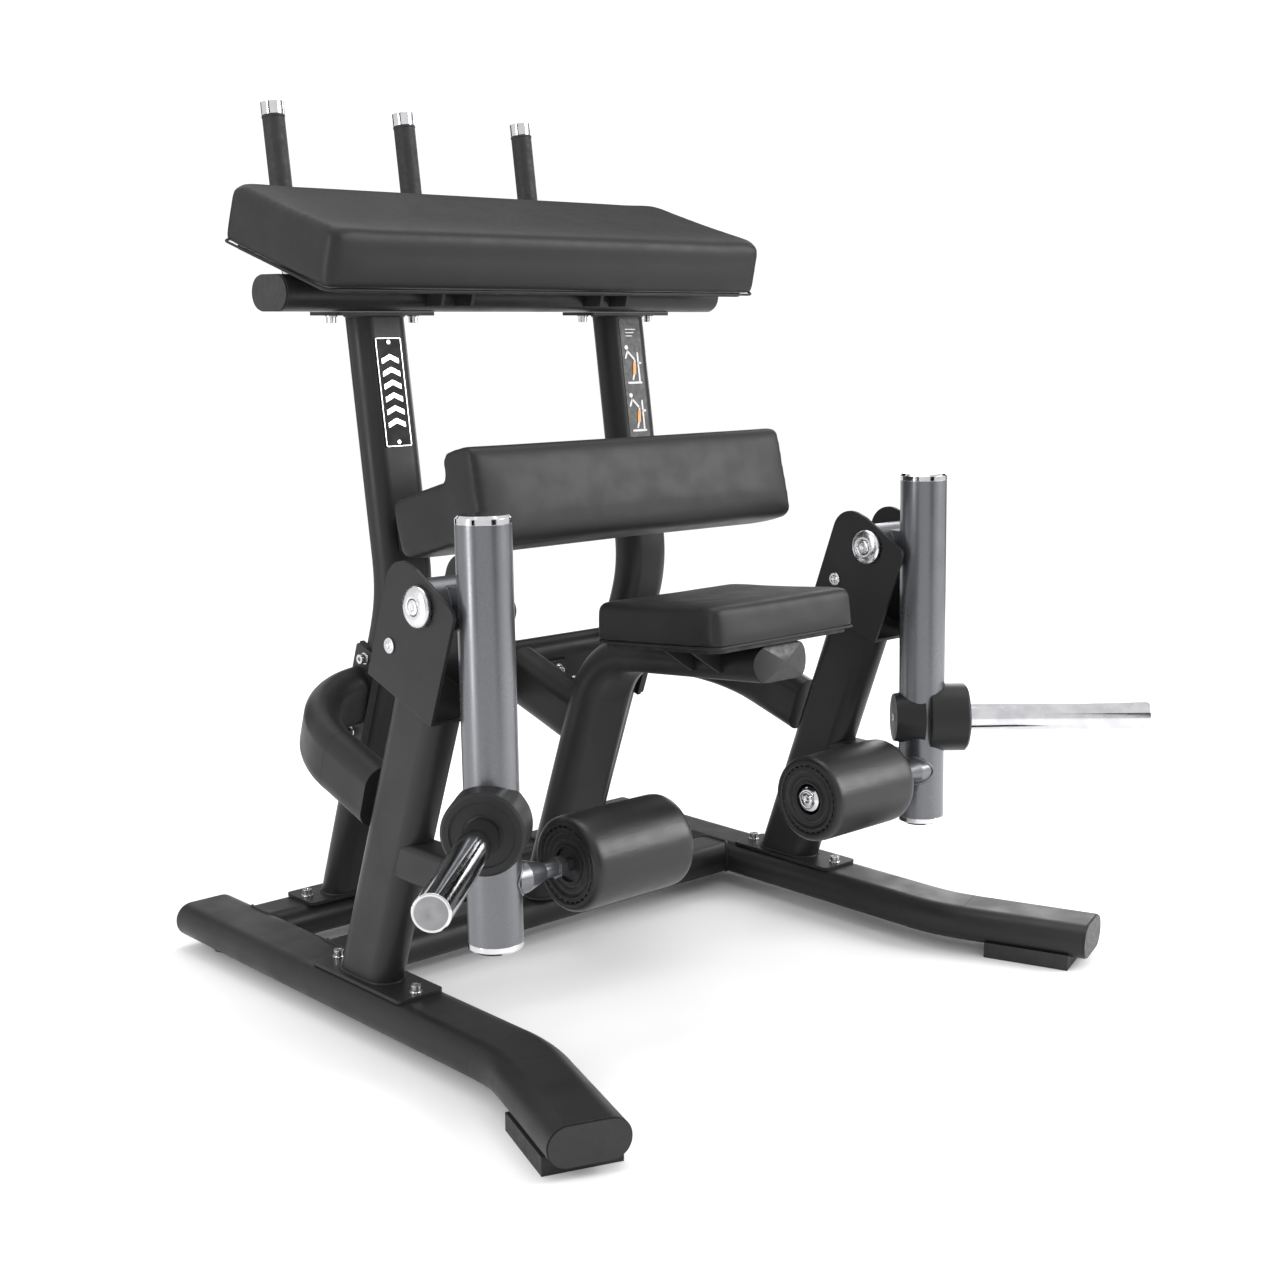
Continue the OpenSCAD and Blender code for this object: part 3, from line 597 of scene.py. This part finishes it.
def make_pads():
    soft_piece("knee_cushion", "knee_pad", "frame", "cushion", 0.005, 0.0012, 6,
               facing(sloped(-KNEE_TILT, (0, 0, -1))), 3.0, 0.0028)
    soft_piece("chest_cushion", "chest_pad", "frame", "cushion", 0.006, 0.0015, 6,
               facing(sloped(CHEST_SLOPE, (0, 0, -1))), 3.5, 0.0035)
    soft_piece("thigh_cushion", "thigh_pad", "frame", "cushion", 0.006, 0.0020, 6,
               facing(sloped(-THIGH_LEAN, (0, 1, 0))), 4.0, 0.0035)
    for side, tag in SIDES:
        soft_piece(tag + "_roller_sleeve", tag + "_roller_pad", tag + "_roller", "roller_skin",
                   0.004, 0.0008, 4, by_roller_core, 3.0, 0.003)


def loop_on(matrix, size, radius, height):
    """Rounded rectangle at a height in a pad's own frame."""
    return [matrix @ Vector((x, y, height)) for x, y in rounded_box(size[0], size[1], radius, 10)]


def pad_matrix(origin, angle):
    return Matrix.Translation(origin) @ Matrix.Rotation(angle, 4, "X")


def make_pad_trim():
    """The rolled hem that closes the chest and knee cushions against their boards."""
    chest = pad_matrix((0, 0.258 + FRAME_Y, 1.1343), CHEST_SLOPE) @ Matrix.Translation((0, 0.010, 0.0354))
    rise = 0.271 * math.tan(KNEE_TILT)
    knee = pad_matrix((0, -0.288 + FRAME_Y, 0.543 + rise), -KNEE_TILT) @ Matrix.Translation((0, 0, 0.030))
    for name, matrix, size, corner in (("chest_cushion_hem", chest, (0.9425, 0.3105), 0.022),
                                       ("knee_cushion_hem", knee, (0.3125, 0.2685), 0.014)):
        hem = sweep(name, loop_on(matrix, size, corner, 0.0085), 0.0022)
        add_piece(name, hem, "frame", finishes["cushion"])


# ---------- small details ----------

def face_matrix(place, along, up):
    """Frame with Z along a direction and Y as near to up as it can be."""
    z = Vector(along).normalized()
    x = Vector(up).cross(z).normalized()
    y = z.cross(x)
    turn = Matrix((x, y, z)).transposed().to_4x4()
    return Matrix.Translation(place) @ turn


def horn_matrix(side, s):
    y = ARM_Y + (HUB_Z - 0.520) * math.tan(ARM_LEAN)
    way = Vector((side * math.cos(HORN_TURN), -math.sin(HORN_TURN), 0))
    return face_matrix(Vector((side * RAIL_X, y, HUB_Z)) + way * s, way, (0, 0, 1))


def make_horn_faces():
    for side, tag in SIDES:
        profile = [(0.0212, -0.001), (0.0212, 0.0004), (0.0205, 0.0009), (0.006, 0.0009), (0.0052, 0.0002)]
        mesh = lathe(tag + "_horn_face", profile, horn_matrix(side, HORN_END))
        add_piece(tag + "_horn_face", mesh, tag + "_arm", horn_face)
        ring = [(0.0245, 0), (0.0258, 0.0012), (0.0276, 0.0016),
                (0.0279, 0), (0.0279, -0.006), (0.0245, -0.006)]
        mesh = lathe(tag + "_horn_seat", ring, horn_matrix(side, HUB_OUT - 0.005))
        add_piece(tag + "_horn_seat", mesh, tag + "_arm", finishes["plastic"])


def make_pivot_caps():
    """Domed covers on the pivot shafts, each round a button screw, and the cross screws beside them."""
    dome = [(0.0303, 0.0002), (0.0303, 0.0068), (0.0296, 0.0090), (0.0265, 0.0110), (0.0210, 0.0133),
            (0.0150, 0.0138), (0.0128, 0.0134), (0.0126, 0.0130), (0.0112, 0.0130), (0.0110, 0.0142),
            (0.0085, 0.0150), (0.0046, 0.0152), (0.0040, 0.0148), (0.0038, 0.0132)]
    button = [(0.0118, 0.0002), (0.0116, 0.0026), (0.0100, 0.0033), (0.0080, 0.0028), (0.0072, 0.0029),
              (0.0064, 0.0036), (0.0038, 0.0038), (0.0032, 0.0034), (0.0030, 0.0027)]
    caps = ((dome, "pivot_cap", PIVOT_BACK, PIVOT_UP), (button, "screw_cap", SCREW_BACK, POST_LEN + SCREW_UP))
    for side, tag in SIDES:
        post = post_matrix(side)
        for way, end in ((side, "outer"), (-side, "inner")):
            for profile, name, y, z in caps:
                place = post @ Vector((way * CLEVIS_HALF, y, z))
                base = face_matrix(place, (way, 0, 0), post.to_3x3() @ Vector((0, 0, 1)))
                piece = f"{tag}_{end}_{name}"
                add_piece(piece, lathe(piece, profile, base, 64), "frame", finishes["bolt"])
        hub = horn_matrix(side, -HUB_IN)
        back = face_matrix(hub.translation, -(hub.to_3x3() @ Vector((0, 0, 1))), (0, 0, 1))
        grub = [(0.0070, -0.001), (0.0070, 0.0008), (0.0060, 0.0014), (0.0036, 0.0015), (0.0032, 0.0004)]
        screw = lathe(tag + "_hub_screw", grub, back, 40)
        add_piece(tag + "_hub_screw", screw, tag + "_arm", finishes["bolt"])


def toothed_ring(name, matrix, inner, outer, depth, teeth):
    """Flat ring whose rim is cut into small blocks."""
    outline = []
    for k in range(teeth):
        for part, r in ((0.0, outer), (0.30, outer), (0.36, inner), (0.94, inner)):
            a = 2 * math.pi * (k + part) / teeth
            outline.append((r * math.cos(a), r * math.sin(a)))
    verts, faces, n = [], [], len(outline)
    bore = inner - 0.006
    for h in (0.0, depth):
        for x, y in outline:
            verts.append(matrix @ Vector((x, y, h)))
        for x, y in outline:
            r = math.hypot(x, y)
            verts.append(matrix @ Vector((x * bore / r, y * bore / r, h)))
    for k in range(n):
        m = (k + 1) % n
        faces += [(k, m, 2 * n + m, 2 * n + k), (n + m, n + k, 3 * n + k, 3 * n + m)]
        faces += [(m, k, n + k, n + m), (2 * n + k, 2 * n + m, 3 * n + m, 3 * n + k)]
    return mesh_from(name, verts, faces)


def make_roller_ends():
    """The core's flanges and toothed rings at both ends, and the bright bolt in the inner end."""
    lip = [(0.0545, -0.012), (0.0545, -0.006), (0.0535, -0.0045), (0.0510, -0.0042),
           (0.0490, -0.0055), (0.0490, -0.0078), (0.040, -0.0082), (0.0385, -0.0068),
           (0.036, -0.0068), (0.0345, -0.0082), (0.027, -0.0082), (0.027, -0.012)]
    bolt = [(0.0224, -0.0118), (0.0224, -0.0078), (0.0208, -0.0060), (0.0174, -0.0027),
            (0.0160, -0.0022), (0.0135, -0.0026), (0.0090, -0.0028), (0.0086, -0.0010),
            (0.0078, -0.0003), (0.0042, -0.0003), (0.0038, -0.0024)]
    for side, tag in SIDES:
        for end, place, way in (("outer", ROLLER_OUT, 1), ("inner", ROLLER_OUT - ROLLER_LEN, -1)):
            base = face_matrix((side * place, ROLLER_Y, ROLLER_Z), (side * way, 0, 0), (0, 0, 1))
            flange = f"{tag}_{end}_roller_flange"
            add_piece(flange, lathe(flange, lip, base), tag + "_roller", finishes["plastic"])
            teeth = f"{tag}_{end}_roller_teeth"
            ring = toothed_ring(teeth, base @ Matrix.Translation((0, 0, -0.011)), 0.0553, 0.0590, 0.0065, 30)
            add_piece(teeth, ring, tag + "_roller", finishes["plastic"], smooth=False)
        piece = tag + "_roller_end_bolt"
        add_piece(piece, lathe(piece, bolt, base, 64), tag + "_arm", finishes["bright"])


def upright_face(side, drop):
    """Frame on the front of an upright's upper run, Y up along it, Z toward the front."""
    top, knee = Vector((0, *UPRIGHT_TOP)), Vector((0, *UPRIGHT_KNEE))
    up = (top - knee).normalized()
    out = Vector((1, 0, 0)).cross(up) * -1
    out = -out if out.y > 0 else out
    place = Vector((side * UPRIGHT_X, 0, 0)) + top - up * drop + out * (LIGHT[1] / 2)
    return face_matrix(place, out, up)


def ring_outline(name, matrix, size, radius, width, low, high):
    """Raised border of a plate."""
    outer = rounded_box(size[0], size[1], radius)
    inner = rounded_box(size[0] - 2 * width, size[1] - 2 * width, max(radius - width, 0.0004))
    n = len(outer)
    verts = [matrix @ Vector((x, y, h)) for h in (low, high) for ring in (outer, inner) for x, y in ring]
    faces = []
    for k in range(n):
        m = (k + 1) % n
        faces += [(k, m, 2 * n + m, 2 * n + k), (n + m, n + k, 3 * n + k, 3 * n + m)]
        faces += [(2 * n + k, 2 * n + m, 3 * n + m, 3 * n + k), (m, k, n + k, n + m)]
    return mesh_from(name, verts, faces)


def make_badge():
    base = upright_face(-1, PLATE_DROP)
    mesh = ring_outline("badge_border", base, (0.0505, 0.1785), 0.003, 0.0016, 0.0014, 0.0021)
    add_piece("badge_border", mesh, "frame", silver_trim, smooth=False)
    shapes = []
    wide, tall, step, thick = 0.034, 0.012, 0.021, 0.0085
    for k in range(6):
        y = (k - 2.5) * step
        foot, tip = y - tall / 2, y + tall / 2
        arrow = [(-wide / 2, foot), (0, tip - thick / 2), (wide / 2, foot),
                 (wide / 2, foot + thick), (0, tip + thick / 2), (-wide / 2, foot + thick)]
        shapes.append((arrow, 0.0022, base, 0.0003))
    add_piece("badge_emblem", slabs("badge_emblem", shapes), "frame", silver_trim, smooth=False)


def capsule(a, b, r, steps=6):
    """Outline of a stroke with round ends."""
    a, b = Vector(a), Vector(b)
    turn = math.atan2(b.y - a.y, b.x - a.x)
    out = []
    for centre, start in ((b, turn - math.pi / 2), (a, turn + math.pi / 2)):
        for i in range(steps + 1):
            t = start + math.pi * i / steps
            out.append((centre.x + r * math.cos(t), centre.y + r * math.sin(t)))
    return out


def disc(x, y, r, steps=18):
    turns = [2 * math.pi * k / steps for k in range(steps)]
    return [(x + r * math.cos(t), y + r * math.sin(t)) for t in turns]


def make_placard():
    """Plain figures at work on the machine: strokes in white, with the working muscle in orange."""
    low, high = 0.0006, 0.0012
    base = upright_face(1, PLATE_DROP) @ Matrix.Translation((0, 0, low))
    torso = ((-0.012, 0.030), (0.004, 0.014))
    thigh = ((0.004, 0.014), (0.002, -0.006))
    arm = ((-0.012, 0.030), (-0.018, 0.018))
    shin = ((0.002, -0.006), (-0.004, -0.022))
    post = ((0.012, 0.026), (0.012, -0.026))
    floor = ((-0.016, -0.028), (0.016, -0.028))
    rest = ((0.012, 0.008), (0.018, 0.008))
    white, orange = [], []
    for y in (0.030, -0.058):
        for a, b in (torso, thigh, arm, shin, post, floor, rest):
            white.append((capsule((a[0], a[1] + y), (b[0], b[1] + y), 0.0019), high, base))
        white.append((disc(-0.014, 0.037 + y, 0.0042), high, base))
        orange.append((capsule((0.0025, 0.006 + y), (0.0005, -0.010 + y), 0.0034), high + 0.0003, base))
    for k in range(3):
        y = 0.100 - 0.006 * k
        white.append((capsule((-0.012, y), (0.012 - 0.005 * k, y), 0.0009), high, base))
    for name, shapes, finish in (("placard_figures", white, print_white),
                                 ("placard_accents", orange, print_orange)):
        add_piece(name, slabs(name, shapes), "frame", finish, smooth=False)


def make_grip_ribs():
    """Fine moulded rings near the foot and the top of each grip."""
    rib = [(0.0190, -0.0022), (0.0203, -0.0012), (0.0205, 0.0), (0.0203, 0.0012), (0.0190, 0.0022)]
    down = Vector((0, -math.sin(GRIP_LEAN), -math.cos(GRIP_LEAN)))
    for k in (-1, 0, 1):
        for i, drop in enumerate((0.233, 0.0125)):
            base = face_matrix(GRIP_TOP + down * drop + Vector((k * GRIP_X, 0, 0)), -down, (0, 1, 0))
            name = f"grip_ring_{k + 2}_{i}"
            add_piece(name, lathe(name, rib, base, 48), "frame", finishes["rubber"])


def make_floor():
    half = 30.0
    corners = [(-half, -half, 0), (half, -half, 0), (half, half, 0), (-half, half, 0)]
    mesh = mesh_from("floor", corners, [(0, 1, 2, 3)])
    obj = bpy.data.objects.new("floor", mesh)
    scene.collection.objects.link(obj)
    f = Finish("floor_pale", Specular_IOR_Level=0.2)
    pale = f.mixed(f.spread(f.noise(2, 2), 0, 1), (0.93, 0.93, 0.93), (0.95, 0.95, 0.95))
    paint(obj, f.done(pale, f.spread(f.noise(6, 2), 0.6, 0.75)))


make_camera()
make_studio()
paint_frame()
make_floor()
make_beads()
make_pads()
make_pad_trim()
make_horn_faces()
make_pivot_caps()
make_roller_ends()
make_badge()
make_placard()
make_grip_ribs()

scene.view_settings.view_transform = "Standard"
